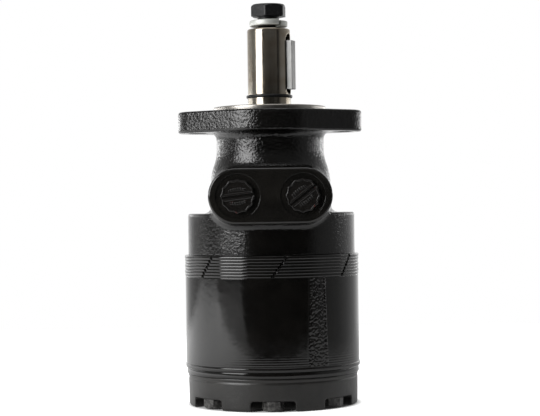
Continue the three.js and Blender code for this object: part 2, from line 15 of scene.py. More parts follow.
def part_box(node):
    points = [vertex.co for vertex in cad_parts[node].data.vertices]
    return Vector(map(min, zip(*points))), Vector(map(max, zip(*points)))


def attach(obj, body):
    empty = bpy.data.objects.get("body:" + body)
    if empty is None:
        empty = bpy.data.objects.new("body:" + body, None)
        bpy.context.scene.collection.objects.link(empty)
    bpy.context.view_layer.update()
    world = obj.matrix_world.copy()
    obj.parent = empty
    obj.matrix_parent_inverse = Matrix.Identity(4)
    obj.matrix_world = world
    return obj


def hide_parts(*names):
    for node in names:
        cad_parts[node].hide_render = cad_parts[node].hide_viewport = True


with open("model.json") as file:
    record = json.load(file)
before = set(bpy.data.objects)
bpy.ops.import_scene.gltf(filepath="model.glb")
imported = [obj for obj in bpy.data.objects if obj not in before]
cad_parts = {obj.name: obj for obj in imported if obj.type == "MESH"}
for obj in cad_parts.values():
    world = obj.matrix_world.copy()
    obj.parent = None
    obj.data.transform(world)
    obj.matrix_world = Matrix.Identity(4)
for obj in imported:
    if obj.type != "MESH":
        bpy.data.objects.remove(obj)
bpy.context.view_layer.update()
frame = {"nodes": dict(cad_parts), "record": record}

MM = 0.001
TAU = 2 * math.pi
FRONT = -math.pi / 2          # direction of the ports, and of the camera, from +X
COLLECTION = bpy.context.scene.collection


def span(node):
    """A CAD node's lowest and highest corners in millimetres."""
    low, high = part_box(node)
    return [v / MM for v in low], [v / MM for v in high]


# ---------------------------------------------------------------- sizes read from the frame

BODY = "motor_body"
COVER_TOP = span("end_cover")[1][2]
COVER_R = span("end_cover")[1][1]
BACKING_TOP = span("backing_plate")[1][2]
STATOR_LOW = span("stator")[0][2]
STATOR_TOP = span("stator")[1][2]
STACK_R = 63.75
HOUSING_LOW = span("housing")[0][2]
PILOT_TOP = span("housing")[1][2]
FLANGE_TOP = PILOT_TOP - 2.75
FLANGE_LOW = FLANGE_TOP - 15.75
FLANGE_HALF = span("housing")[1][0]
FLANGE_MIDDLE_R = 46.5        # the flange between its ears
EAR_R = 18.3                  # the arc round each ear
EAR_X = FLANGE_HALF - EAR_R
EAR_HOLE_X = 53.2
EAR_HOLE_R = 7.15
BOSS_FACE = span("housing")[0][1]
BOSS_BACK = BOSS_FACE + 3.5   # where the finely meshed front of the port boss ends
BOSS_HALF = 24.0              # half of the distance between the boss's end circles
BOSS_R = 19.75
PILOT_R = 41.275
PLATES = sum(name.startswith("manifold_plate_") for name in frame["nodes"])
SKIRT_R = 61.25
SKIRT_TOP = 140.0
WAIST_R = 44.0
NECK_R = 39.5
WAIST_TOP = 169.5
NECK_LOW = 180.0
PORT_X = 22.9
PORT_Z = 152.0
PORT_R = 10.2
PORT_DEPTH = 16.0
SEAT_R = 11.5                 # the port's wider mouth, where the plug's seal sits
SEAT_DEPTH = 3.25
SPOTFACE_R = 15.75
SPOTFACE_DEPTH = 0.75
GALLERY_R = 4.5
GALLERY_CIRCLE = 38.0         # distance of the downward gallery from the axis
BOLTS = 7
BOLT_STEP = TAU / BOLTS
BOLT_CIRCLE = 54.0
BOLT_R = 4.75
BOLT_HOLE_R = 5.0
BOLT_HEX = 14.3
POCKET_R = 16.5
POCKET_H = 7.5
BACKING_R = 63.25
INNER_R = 40.0                # bore of the thin plates' rings, which never shows
SHAFT_R = 15.875
SHAFT_TOP = span("output_shaft")[1][2]
JOURNAL_R = 19.05
DRUM_R = 25.0
DRUM_LOW = 112.0
DRUM_TOP = 150.0
KEY_ANGLE = math.radians(-20)
KEY_HALF = 3.97               # half of the key's width
KEYWAY_FLOOR = 11.25
KEYWAY_MIDDLE = 249.25
KEYWAY_HALF = 22.25
KEYWAY_R = 4.75


# ---------------------------------------------------------------- distance fields

def smooth_min(a, b, k):
    h = np.maximum(k - np.abs(a - b), 0) / k
    return np.minimum(a, b) - h * h * k / 4


def smooth_max(a, b, k):
    return -smooth_min(-a, -b, k)


def rounded_slab(d, z, low, high, edge):
    """A flat outline with distance d, raised from low to high, its edges rounded."""
    a = d + edge
    b = np.abs(z - (low + high) / 2) - (high - low) / 2 + edge
    outside = np.sqrt(np.maximum(a, 0) ** 2 + np.maximum(b, 0) ** 2)
    return outside + np.minimum(np.maximum(a, b), 0) - edge


def bar_distance(u, v, half, radius):
    """Distance from a round-ended bar lying along u, with its end circles at +-half."""
    reach = np.maximum(np.abs(u) - half, 0)
    return np.sqrt(reach * reach + v * v) - radius


def from_axis(u, v, centre_u, centre_v):
    """Distance from a straight line that crosses the u, v plane at the given centre."""
    return np.sqrt((u - centre_u) ** 2 + (v - centre_v) ** 2)


def bolt_places():
    """Each cover bolt's direction from the motor's axis, and its centre."""
    for i in range(BOLTS):
        angle = FRONT + i * BOLT_STEP
        yield angle, BOLT_CIRCLE * math.cos(angle), BOLT_CIRCLE * math.sin(angle)


def key_axes(x, y):
    """Distances outwards along the key's direction, and sideways from it."""
    out = x * math.cos(KEY_ANGLE) + y * math.sin(KEY_ANGLE)
    side = -x * math.sin(KEY_ANGLE) + y * math.cos(KEY_ANGLE)
    return out, side


def flange_distance(x, y):
    """Distance from the flange's outline: a circle and two smaller ones with their tangents."""
    slope = (FLANGE_MIDDLE_R - EAR_R) / EAR_X
    rise = math.sqrt(1 - slope * slope)
    px, py = np.abs(x), np.abs(y)
    along = px * rise - py * slope
    flat = px * slope + py * rise - FLANGE_MIDDLE_R
    near = np.sqrt(px * px + py * py) - FLANGE_MIDDLE_R
    far = np.sqrt((px - EAR_X) ** 2 + py * py) - EAR_R
    return np.where(along < 0, near, np.where(along > EAR_X * rise, far, flat))


def gradient(field, p):
    """How fast the field changes along each axis at the points p."""
    h = 0.02
    out = np.zeros_like(p)
    for axis in range(3):
        step = np.zeros(3)
        step[axis] = h
        out[:, axis] = (field(*(p + step).T) - field(*(p - step).T)) / (2 * h)
    return out


def field_mesh(field, low, high, step):
    """Vertices on the field's zero level, the level's normals there, and the faces."""
    axes = [np.arange(a - 3 * step, b + 3 * step, step, dtype=np.float32)
            for a, b in zip(low, high)]
    grid = field(axes[0][:, None, None], axes[1][None, :, None], axes[2][None, None, :])
    volume = openvdb.FloatGrid(3.0 * step)
    volume.copyFromArray(np.clip(grid, -3 * step, 3 * step).astype(np.float32))
    points, _, quads = volume.convertToPolygons(isovalue=0.0, adaptivity=0.0)
    p = points.astype(np.float64) * step + np.array([a[0] for a in axes])
    for _ in range(3):
        g = gradient(field, p)
        size = np.maximum((g * g).sum(1), 0.2)
        move = (field(*p.T) / size)[:, None] * g
        reach = np.maximum(np.abs(move).max(1) / (0.6 * step), 1)
        p -= move / reach[:, None]
    normals = gradient(field, p)
    normals /= np.maximum(np.linalg.norm(normals, axis=1), 1e-6)[:, None]
    faces = quads.astype(np.int64)
    corner = p[faces]
    turn = np.cross(corner[:, 2] - corner[:, 0], corner[:, 3] - corner[:, 1])
    if (turn * normals[faces[:, 0]]).sum() < 0:
        faces = faces[:, ::-1]
    return p, normals, faces


# ---------------------------------------------------------------- noise for cast skin

def lattice(ix, iy, iz, seed):
    """A repeatable value from 0 to 1 at each whole-number point."""
    h = ix * 374761393 + iy * 668265263 + iz * 2147483647 + seed * 1274126177
    h = (h ^ (h >> 13)) * 1274126177
    h = h ^ (h >> 16)
    return (h & 0xFFFFFF) / float(0xFFFFFF)


def value_noise(p, size, seed):
    """Smooth noise from -1 to 1 with bumps about size millimetres across."""
    q = p / size
    base = np.floor(q).astype(np.int64)
    f = q - base
    f = f * f * (3 - 2 * f)
    total = np.zeros(len(p))
    for corner in range(8):
        offset = [(corner >> axis) & 1 for axis in range(3)]
        weight = np.ones(len(p))
        for axis in range(3):
            weight *= f[:, axis] if offset[axis] else 1 - f[:, axis]
        total += weight * lattice(*(base + offset).T, seed)
    return 2 * total - 1


# ---------------------------------------------------------------- making pieces

def new_piece(name, points, faces, normals=None, sharp=None):
    """A smooth mesh from points in millimetres. sharp is the angle, in degrees, of a hard edge."""
    if isinstance(faces, np.ndarray):
        faces = faces.tolist()
    mesh = bpy.data.meshes.new(name)
    mesh.from_pydata((np.asarray(points) * MM).tolist(), [], faces)
    mesh.validate()
    mesh.polygons.foreach_set("use_smooth", [True] * len(mesh.polygons))
    if sharp is not None:
        mesh.set_sharp_from_angle(angle=math.radians(sharp))
    if normals is not None:
        mesh.normals_split_custom_set_from_vertices(normals.tolist())
    mesh.update()
    piece = bpy.data.objects.new(name, mesh)
    COLLECTION.objects.link(piece)
    return piece


def settle(piece, body, slot, look, *nodes):
    """Puts a piece on its body, gives it its material and hides the CAD nodes it stands for. slot
    is not used.
    """
    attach(piece, body)
    if nodes:
        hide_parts(*nodes)
    piece.data.materials.clear()
    piece.data.materials.append(look)


def field_piece(name, field, low, high, step, rough=None):
    """A piece from a distance field. rough(p) says how far to move its skin out or in."""
    p, normals, faces = field_mesh(field, low, high, step)
    if rough is None:
        return new_piece(name, p, faces, normals)
    p = p + rough(p)[:, None] * normals
    return new_piece(name, p, faces)


def softened(corners, arc_steps=5):
    """A closed profile from [radius, height, rounding] corners, with each corner as an arc."""
    points = []
    count = len(corners)
    for i, (r, z, rounding) in enumerate(corners):
        here = Vector((r, z))
        if rounding <= 0:
            points.append((r, z))
            continue
        before = (Vector(corners[i - 1][:2]) - here).normalized()
        after = (Vector(corners[(i + 1) % count][:2]) - here).normalized()
        half = before.angle(after) / 2
        back = rounding / math.tan(half)
        centre = here + (before + after).normalized() * (rounding / math.sin(half))
        start = here + before * back - centre
        end = here + after * back - centre
        for j in range(arc_steps + 1):
            spot = start.slerp(end, j / arc_steps, start) if start.length else start
            points.append(tuple(centre + spot))
    return points


def turned(name, corners, steps=192, wave=None):
    """A closed profile turned round Z. wave(angle, radius) may move its wall out or in."""
    profile = softened(corners)
    points = []
    for i in range(steps):
        angle = i * TAU / steps
        for r, z in profile:
            radius = r + (wave(angle, r) if wave else 0)
            points.append((radius * math.cos(angle), radius * math.sin(angle), z))
    n = len(profile)
    faces = []
    for i in range(steps):
        j = (i + 1) % steps
        for k in range(n):
            m = (k + 1) % n
            faces.append((i * n + k, j * n + k, j * n + m, i * n + m))
    piece = new_piece(name, points, faces, sharp=40)
    return outward(piece)


def outward(piece):
    """Turns a closed mesh's faces outwards if they point in."""
    mesh = piece.data
    volume = 0.0
    mesh.calc_loop_triangles()
    for t in mesh.loop_triangles:
        a, b, c = (mesh.vertices[v].co for v in t.vertices)
        volume += a.dot(b.cross(c))
    if volume < 0:
        mesh.flip_normals()
    return piece


def lofted(name, rings, steps, place=(0, 0), sharp=35):
    """A solid through rings of (height, radii), each with one radius or one for each step."""
    points = []
    for z, radii in rings:
        radii = np.broadcast_to(np.asarray(radii, dtype=float), (steps,))
        for i in range(steps):
            angle = i * TAU / steps
            points.append((place[0] + radii[i] * math.cos(angle),
                           place[1] + radii[i] * math.sin(angle), z))
    faces = [list(range(steps))[::-1]]
    for k in range(len(rings) - 1):
        for i in range(steps):
            j = (i + 1) % steps
            a, b = k * steps, (k + 1) * steps
            faces.append([a + i, a + j, b + j, b + i])
    last = (len(rings) - 1) * steps
    faces.append([last + i for i in range(steps)])
    return outward(new_piece(name, points, faces, sharp=sharp))


def swept_ring(name, section, start, end, rise, steps=160):
    """A bar of the given [radius, height] section bent round Z from start to end, rising."""
    profile = softened(section, 3)
    n = len(profile)
    points = []
    for i in range(steps + 1):
        t = i / steps
        angle = start + (end - start) * t
        for r, z in profile:
            points.append((r * math.cos(angle), r * math.sin(angle), z + rise * t))
    faces = [list(range(n)), [steps * n + k for k in range(n)][::-1]]
    for i in range(steps):
        for k in range(n):
            m = (k + 1) % n
            faces.append([i * n + k, i * n + m, (i + 1) * n + m, (i + 1) * n + k])
    return outward(new_piece(name, points, faces, sharp=40))


# ---------------------------------------------------------------- materials

class Look:
    """A Principled material with a few helpers for noise, bumps and mixes."""

    def __init__(self, name, colour, roughness, metallic=0.0):
        self.material = bpy.data.materials.new(name)
        self.material.use_nodes = True
        self.tree = self.material.node_tree
        self.shader = self.tree.nodes["Principled BSDF"]
        self.shader.inputs["Base Color"].default_value = (*colour, 1)
        self.shader.inputs["Roughness"].default_value = roughness
        self.shader.inputs["Metallic"].default_value = metallic
        self.place = self.tree.nodes.new("ShaderNodeTexCoord").outputs["Object"]
        self.normal = None

    def node(self, kind, **settings):
        made = self.tree.nodes.new(kind)
        for key, value in settings.items():
            setattr(made, key, value)
        return made

    def link(self, source, target):
        self.tree.links.new(source, target)

    def stretched(self, scale, turn):
        mapping = self.node("ShaderNodeMapping")
        mapping.inputs["Scale"].default_value = scale
        mapping.inputs["Rotation"].default_value = turn
        self.link(self.place, mapping.inputs["Vector"])
        return mapping.outputs["Vector"]

    def noise(self, size_mm, detail=2.0, vector=None, roughness=0.5):
        made = self.node("ShaderNodeTexNoise")
        made.inputs["Scale"].default_value = 1 / (size_mm * MM)
        made.inputs["Detail"].default_value = detail
        made.inputs["Roughness"].default_value = roughness
        self.link(vector or self.place, made.inputs["Vector"])
        return made.outputs["Fac"]

    def ramp(self, fac, low, high, a, b):
        """Maps fac from low..high to the numbers a..b."""
        made = self.node("ShaderNodeMapRange")
        made.inputs["From Min"].default_value = low
        made.inputs["From Max"].default_value = high
        made.inputs["To Min"].default_value = a
        made.inputs["To Max"].default_value = b
        self.link(fac, made.inputs["Value"])
        return made.outputs["Result"]

    def mix(self, fac, a, b):
        made = self.node("ShaderNodeMix", data_type="RGBA")
        self.link(fac, made.inputs["Factor"])
        made.inputs["A"].default_value = (*a, 1)
        made.inputs["B"].default_value = (*b, 1)
        return made.outputs["Result"]

    def math(self, operation, a, b):
        made = self.node("ShaderNodeMath", operation=operation)
        self.link(a, made.inputs[0])
        self.link(b, made.inputs[1])
        return made.outputs["Value"]

    def colour(self, output):
        self.link(output, self.shader.inputs["Base Color"])

    def rough(self, output):
        self.link(output, self.shader.inputs["Roughness"])

    def bump(self, height, distance_mm):
        made = self.node("ShaderNodeBump")
        made.inputs["Distance"].default_value = distance_mm * MM
        made.inputs["Strength"].default_value = 1.0
        self.link(height, made.inputs["Height"])
        if self.normal:
            self.link(self.normal, made.inputs["Normal"])
        self.normal = made.outputs["Normal"]
        self.link(self.normal, self.shader.inputs["Normal"])


def paint_look(name, roughness, skins, tone=0.0045):
    """Gloss black enamel, slightly warm and faintly dusty. skins are bumps: [size, height]."""
    clean = (0.8 * tone, 0.77 * tone, 0.7 * tone)
    dusty = (1.4 * tone, 1.3 * tone, 1.15 * tone)
    look = Look(name, clean, roughness)
    look.colour(look.mix(look.ramp(look.noise(14, 4), 0.35, 0.7, 0, 1), clean, dusty))
    look.rough(look.ramp(look.noise(6, 5), 0.3, 0.7, roughness - 0.02, roughness + 0.03))
    for size, height in skins:
        look.bump(look.noise(size, 2), height)
    return look.material


def steel_look(name, colour, dark, roughness, scratch_turn=(0, 0, 0), scratch=0.004):
    """Ground steel: fine marks along one direction, and slow changes of tone."""
    look = Look(name, colour, roughness, 1.0)
    tone = look.noise(9, 5)
    look.colour(look.mix(look.ramp(tone, 0.3, 0.7, 0, 1), dark, colour))
    marks = look.noise(0.5, 3, look.stretched((1, 1, 0.06), scratch_turn), 0.7)
    look.rough(look.ramp(marks, 0.3, 0.7, roughness - 0.04, roughness + 0.08))
    look.bump(marks, scratch)
    return look.material


def zinc_look():
    """Dull zinc plate, a little green."""
    look = Look("zinc_plate", (0.7, 0.71, 0.68), 0.5, 0.6)
    look.colour(look.mix(look.ramp(look.noise(5, 4), 0.3, 0.7, 0, 1), (0.5, 0.51, 0.48),
                         (0.62, 0.63, 0.6)))
    look.rough(look.ramp(look.noise(1.5, 4), 0.3, 0.7, 0.45, 0.6))
    look.bump(look.noise(0.7, 3), 0.01)
    return look.material


def oxide_look():
    """Black oxide on a forged bolt: dull, with fine rubbed marks."""
    look = Look("black_oxide", (0.011, 0.011, 0.012), 0.35)
    look.shader.inputs["IOR"].default_value = 1.36
    rub = look.noise(1.8, 5, roughness=0.65)
    look.colour(look.mix(look.ramp(rub, 0.52, 0.72, 0, 1), (0.009, 0.009, 0.01),
                         (0.035, 0.035, 0.036)))
    look.rough(look.ramp(look.noise(1.2, 4), 0.3, 0.7, 0.28, 0.42))
    look.bump(look.noise(0.8, 3), 0.012)
    return look.material


def plug_look():
    """Red plastic with black paint blown over it, thin in random patches where the red shows."""
    look = Look("plug_plastic", (0.01, 0.009, 0.008), 0.42)
    patches = look.noise(3.2, 5, roughness=0.65)
    spots = look.ramp(patches, 0.66, 0.72, 0, 1)
    look.colour(look.mix(spots, (0.009, 0.0082, 0.0075), (0.10, 0.010, 0.008)))
    look.rough(look.ramp(look.noise(1.5, 4), 0.3, 0.7, 0.13, 0.24))
    look.bump(look.noise(0.7, 3), 0.03)
    return look.material


def rubber_look():
    look = Look("seal_rubber", (0.012, 0.012, 0.012), 0.6)
    look.rough(look.ramp(look.noise(2, 4), 0.3, 0.7, 0.5, 0.75))
    look.bump(look.noise(0.4, 3), 0.01)
    return look.material


def bolt_paint_look():
    """Black paint rubbed thin on a bolt head, so that grey steel shows through."""
    look = Look("worn_bolt_paint", (0.02, 0.019, 0.018), 0.4)
    rub = look.noise(2.5, 5, roughness=0.6)
    look.colour(look.mix(look.ramp(rub, 0.45, 0.62, 0, 1), (0.02, 0.019, 0.018),
                         (0.09, 0.088, 0.084)))
    look.rough(look.ramp(look.noise(1.2, 4), 0.3, 0.7, 0.3, 0.5))
    look.bump(look.noise(0.8, 3), 0.015)
    return look.material


BLACK = paint_look("black_paint", 0.09, [(3.2, 0.014), (1.1, 0.004)])
CAST = paint_look("cast_paint", 0.1, [(1.7, 0.38), (0.9, 0.1)], 0.0035)
SKIRT = paint_look("skirt_paint", 0.13, [(1.9, 0.17), (0.9, 0.06)], 0.0035)
BOSS = paint_look("boss_paint", 0.13, [(1.3, 0.02)], 0.008)
COVER = paint_look("cover_paint", 0.34, [(1.5, 0.06), (0.6, 0.05)], 0.012)
SHAFT = steel_look("shaft_steel", (0.42, 0.39, 0.335), (0.33, 0.28, 0.215), 0.14,
                   (0.5, 0.4, 0.3), 0.006)
PILOT = steel_look("pilot_steel", (0.5, 0.48, 0.45), (0.36, 0.34, 0.31), 0.3)
STEEL = steel_look("hardened_steel", (0.5, 0.49, 0.47), (0.4, 0.39, 0.37), 0.28)
KEY = steel_look("key_steel", (0.33, 0.33, 0.325), (0.26, 0.26, 0.255), 0.48)
ZINC = zinc_look()
OXIDE = oxide_look()
BOLT = bolt_paint_look()
PLUG = plug_look()
RUBBER = rubber_look()

SLOT_LOOKS = {
    "black_paint": BLACK, "cast_paint": CAST, "bolt_paint": BOLT, "seal_rubber": RUBBER,
    "hardened_steel": STEEL, "shaft_steel": SHAFT, "key_steel": KEY, "zinc_plate": ZINC,
    "black_oxide": OXIDE, "plug_plastic": PLUG,
}


# ---------------------------------------------------------------- housing casting

def boss_distance(x, z):
    return bar_distance(x, z - PORT_Z, BOSS_HALF, BOSS_R)


def housing_outside(x, y, z):
    """The casting before anything is machined: skirt, waist, neck, port boss and flange."""
    r = np.sqrt(x * x + y * y)
    skirt = rounded_slab(r - SKIRT_R, z, HOUSING_LOW, SKIRT_TOP, 1.6)
    foot = rounded_slab(r - SKIRT_R, z, HOUSING_LOW, HOUSING_LOW + 12, 0.5)
    skirt = np.minimum(skirt, foot)
    slope = (WAIST_R - NECK_R) / (NECK_LOW - WAIST_TOP)
    cone = (r - WAIST_R + slope * (z - WAIST_TOP)) / math.sqrt(1 + slope * slope)
    wall = smooth_min(smooth_max(r - WAIST_R, cone, 3), r - NECK_R, 2.5)
    trunk = np.maximum(wall, np.abs(z - 168) - 38)
    boss = rounded_slab(boss_distance(x, z), y, BOSS_FACE, -8, 1.8)
    flange = rounded_slab(flange_distance(x, y), z, FLANGE_LOW, FLANGE_TOP, 1.8)
    body = smooth_min(trunk, skirt, 7)
    body = smooth_min(body, boss, 5)
    return smooth_min(body, flange, 6)


def stepped_bore(r, z):
    """The hollow round the shaft: drive cavity, bearing bore, seal lip and dust seal's seat."""
    cavity = np.maximum(r - 30.25, z - 157)
    bearing = np.maximum(r - 25.75, z - 195)
    seal_seat = np.maximum(r - 22.5, 208 - z)
    return np.minimum(np.minimum(cavity, bearing), np.minimum(r - 20, seal_seat))


def galleries(x, y, z):
    """Oil ways: straight in from the left port, and in and then down from the right one."""
    front = -52
    left_end = -12
    turn_y = -math.sqrt(GALLERY_CIRCLE ** 2 - PORT_X ** 2)
    left = np.maximum(from_axis(x, z, -PORT_X, PORT_Z) - GALLERY_R, y - left_end)
    right = np.maximum(from_axis(x, z, PORT_X, PORT_Z) - GALLERY_R, y - turn_y)
    down = np.maximum(from_axis(x, y, PORT_X, turn_y) - GALLERY_R, z - PORT_Z)
    return np.maximum(np.minimum(np.minimum(left, right), down), front - y)


def housing_field(x, y, z):
    """The housing with its bore, holes, ports, oil ways and seal groove cut in."""
    bolt_hole_top = 129
    body = housing_outside(x, y, z)
    r = np.sqrt(x * x + y * y)
    body = smooth_max(body, -stepped_bore(r, z), 0.8)
    ear_hole = from_axis(np.abs(x), y, EAR_HOLE_X, 0) - EAR_HOLE_R
    body = smooth_max(body, -np.maximum(ear_hole, FLANGE_LOW - 9 - z), 1.5)
    port_r = from_axis(np.abs(x), z, PORT_X, PORT_Z)
    depth = y - BOSS_FACE
    spotface = np.maximum(port_r - SPOTFACE_R, depth - SPOTFACE_DEPTH)
    thread = np.maximum(port_r - PORT_R, depth - PORT_DEPTH)
    seat = np.maximum(port_r - SEAT_R, depth - SEAT_DEPTH)
    body = smooth_max(body, -spotface, 0.3)
    body = smooth_max(body, -np.minimum(thread, seat), 0.5)
    body = np.maximum(body, -galleries(x, y, z))
    for _, bolt_x, bolt_y in bolt_places():
        hole = from_axis(x, y, bolt_x, bolt_y) - BOLT_HOLE_R
        body = np.maximum(body, -np.maximum(hole, z - bolt_hole_top))
    groove = np.maximum(np.abs(r - 47.25) - 1.25, z - HOUSING_LOW - 1.75)
    return np.maximum(body, -groove)


def casting_field(x, y, z):
    """The housing, with the front of its boss drawn in under the finer cap."""
    under = np.maximum(boss_distance(x, z) + 0.3, BOSS_FACE + 2 - y)
    return np.maximum(housing_field(x, y, z), np.minimum(under, BOSS_BACK - y))


def boss_cap_field(x, y, z):
    """The front of the boss alone, which runs a little way into the casting."""
    return np.maximum(housing_field(x, y, z), y - BOSS_BACK - 0.1)


def cast_skin(p):
    """How far the casting's rough skin stands out: nothing on its machined faces or its cuts."""
    x, y, z = p.T
    outside = housing_outside(x, y, z)
    smooth = np.clip((np.abs(outside) - 0.05) / 0.3, 0, 1)
    smooth = np.maximum(smooth, np.clip(1 - (z - HOUSING_LOW) / 1.5, 0, 1))
    smooth = np.maximum(smooth, np.clip((z - FLANGE_TOP + 1.2) / 0.8, 0, 1))
    smooth = np.maximum(smooth, np.clip(1 - (y - BOSS_BACK + 0.5) / 1.5, 0, 1))
    bumps = 0.03 * value_noise(p, 3.4, 1) + 0.05 * value_noise(p, 1.9, 2)
    bumps *= np.clip((z - SKIRT_TOP) / 6, 0.15, 1)
    swell = 0.06 * value_noise(p, 15, 3)
    return (bumps + swell) * (1 - smooth)


def paint_skirt(casting):
    """Gives the casting's faces below the top of the skirt their own, smoother paint."""
    casting.data.materials.append(SKIRT)
    faces = casting.data.polygons
    centres = np.empty(3 * len(faces))
    faces.foreach_get("center", centres)
    on_skirt = centres[2::3] < (SKIRT_TOP - 2) * MM
    faces.foreach_set("material_index", on_skirt.astype(np.int32))


def make_housing():
    low = (-FLANGE_HALF, BOSS_FACE, HOUSING_LOW)
    high = (FLANGE_HALF, SKIRT_R, FLANGE_TOP)
    casting = field_piece("housing_casting", casting_field, low, high, 0.8, cast_skin)
    settle(casting, BODY, "cast_paint", CAST, "housing")
    paint_skirt(casting)
    low = (-BOSS_HALF - BOSS_R, BOSS_FACE, PORT_Z - BOSS_R)
    high = (BOSS_HALF + BOSS_R, BOSS_BACK, PORT_Z + BOSS_R)
    cap = field_piece("port_boss_face", boss_cap_field, low, high, 0.3)
    settle(cap, BODY, "cast_paint", BOSS, "housing")
    pilot_bore = 22.6
    pilot = turned("pilot_ring", [
        (pilot_bore, FLANGE_TOP, 0), (PILOT_R, FLANGE_TOP, 0), (PILOT_R, PILOT_TOP, 0.7),
        (pilot_bore, PILOT_TOP, 0.5),
    ])
    settle(pilot, BODY, "cast_paint", PILOT, "housing")


# ---------------------------------------------------------------- round stack

def end_cover_field(x, y, z):
    """A drafted disc with a groove under its top edge and a pocket for each bolt."""
    r = np.sqrt(x * x + y * y)
    draft = COVER_R - 0.5 * (1 - z / COVER_TOP)
    body = rounded_slab(r - draft, z, 0, COVER_TOP, 1.6)
    top = rounded_slab(r - draft, z, COVER_TOP - 8, COVER_TOP, 0.5)
    body = np.minimum(body, top)
    groove = from_axis(r, z, COVER_R + 0.25, COVER_TOP - 2.6) - 0.75
    body = smooth_max(body, -groove, 0.4)
    for _, bolt_x, bolt_y in bolt_places():
        d = from_axis(x, y, bolt_x, bolt_y)
        pocket = rounded_slab(d - POCKET_R, z, -10, POCKET_H, 2.0)
        body = smooth_max(body, -pocket, 1.2)
        body = np.maximum(body, BOLT_HOLE_R - d)
    return body


def end_cover_skin(p):
    """Fine cast texture that fades out towards the cover's top and bottom faces."""
    z = p[:, 2]
    keep = np.clip((z - 0.3) / 1.5, 0, 1) * np.clip((COVER_TOP - 0.4 - z) / 1.0, 0, 1)
    return 0.03 * value_noise(p, 2.4, 5) * keep


def make_end_cover():
    low = (-COVER_R, -COVER_R, 0)
    high = (COVER_R, COVER_R, COVER_TOP)
    cover = field_piece("end_cover_casting", end_cover_field, low, high, 0.7, end_cover_skin)
    settle(cover, BODY, "black_paint", COVER, "end_cover")


def make_thin_plates():
    steps = 240
    backing = turned("backing_plate_ring", [
        (INNER_R, COVER_TOP, 0), (BACKING_R, COVER_TOP, 1.0), (BACKING_R, BACKING_TOP, 1.2),
        (INNER_R, BACKING_TOP, 0),
    ], steps)
    settle(backing, BODY, "black_paint", BLACK, "backing_plate")
    outer = STACK_R - 0.1
    balance = turned("balance_plate_ring", [
        (INNER_R, BACKING_TOP, 0), (outer, BACKING_TOP, 0.5), (outer, STATOR_LOW, 0.5),
        (INNER_R, STATOR_LOW, 0),
    ], steps)
    settle(balance, BODY, "black_paint", BLACK, "balance_plate")


def make_manifold():
    """Seven plates. Each has a notch at seven places, one step round from the plate above."""
    bore = 24
    notch_top = math.radians(9.5)
    notch_step = math.radians(1.45)
    notch_half = math.radians(1.2)
    notch_depth = 1.4
    gap = 0.12
    for index in range(PLATES):
        node = f"manifold_plate_{index + 1}"
        low, high = span(node)[0][2] + gap, span(node)[1][2] - gap
        at = FRONT + notch_top - index * notch_step

        def wave(angle, r):
            """A notch and a slight unevenness on the rim, and nothing in the bore."""
            if r < (bore + STACK_R) / 2:
                return 0
            off = (angle - at + BOLT_STEP / 2) % BOLT_STEP - BOLT_STEP / 2
            cut = max(0.0, 1 - abs(off) / notch_half)
            ripple = 0.03 * math.sin(3 * angle + 2 * index) + 0.015 * math.sin(11 * angle + index)
            return ripple - notch_depth * min(1.0, 1.7 * cut)

        radius = STACK_R - 0.2 - 0.05 * (index * 3 % PLATES)
        plate = turned(f"manifold_lamination_{index + 1}", [
            (bore, low, 0), (radius, low, 0.5), (radius, high, 0.5), (bore, high, 0),
        ], 1080, wave)
        settle(plate, BODY, "black_paint", BLACK, node)


def stator_wall(edge, rows):
    """Heights up the stator's wall, and how far its rounded edges draw each one in."""
    arc = np.linspace(0, math.pi / 2, 4)
    foot = [STATOR_LOW + edge * (1 - math.cos(a)) for a in arc]
    drawn = [edge * (1 - math.sin(a)) for a in arc]
    inner = list(np.linspace(STATOR_LOW + edge, STATOR_TOP - edge, rows)[1:-1])
    top = [STATOR_LOW + STATOR_TOP - z for z in foot[::-1]]
    return foot + inner + top, drawn + [0] * len(inner) + drawn[::-1]


def strip_relief(off, down, flat):
    """The rough cast strip down the stator's front right, with a beaded right edge.

    off is the angle from the front, down goes from 0 at the top to 1 at the bottom, and flat
    is the wall rolled out. The strip gets wider and smoother downwards.
    """
    left, right = math.radians(25), math.radians(36)
    lean, spread = math.radians(1.5), math.radians(3)
    across = (off - left + down * lean) / (right - left + down * spread)
    inside = np.clip(across / 0.06, 0, 1) * np.clip((1 - across) / 0.06, 0, 1)
    rough = 0.05 * value_noise(flat, 1.7, 7) + 0.12 * value_noise(flat, 0.9, 8)
    rough = rough.reshape(down.shape) * (1.7 - 0.8 * down)
    bead = 0.5 + 0.5 * value_noise(flat * [0, 1, 0], 1.1, 11).reshape(down.shape)
    rim = np.exp(-((across - 1.0) / 0.035) ** 2)
    groove = np.exp(-((across - 0.9) / 0.04) ** 2) + 0.5 * np.exp(-(across / 0.05) ** 2)
    return rough * inside + 0.9 * bead * rim - 0.2 * groove


def make_stator():
    """The long gear ring: a turned wall, faint lathe lines at its foot, and the rough strip."""
    steps = 1080
    heights, drawn = stator_wall(0.5, 170)
    angle, z = np.meshgrid(np.arange(steps) * TAU / steps, np.array(heights))
    off = (angle - FRONT + math.pi) % TAU - math.pi
    down = (STATOR_TOP - z) / (STATOR_TOP - STATOR_LOW)
    flat = np.stack([off.ravel() * STACK_R, z.ravel(), 0 * z.ravel()], 1)
    relief = strip_relief(off, down, flat)
    wide = 0.03 * value_noise(flat, 30, 9).reshape(z.shape)
    skin = 0.006 * value_noise(flat, 3.5, 10).reshape(z.shape)
    above = z - STATOR_LOW
    lines = 0.02 * np.sin(above * TAU / 1.7) * np.clip(1 - above / 9, 0, 1)
    radius = STACK_R - 0.1 - np.array(drawn)[:, None] + relief + wide + lines + skin
    body = lofted("stator_ring", list(zip(heights, radius)), steps, sharp=60)
    settle(body, BODY, "black_paint", BLACK, "stator")


# ---------------------------------------------------------------- bolts

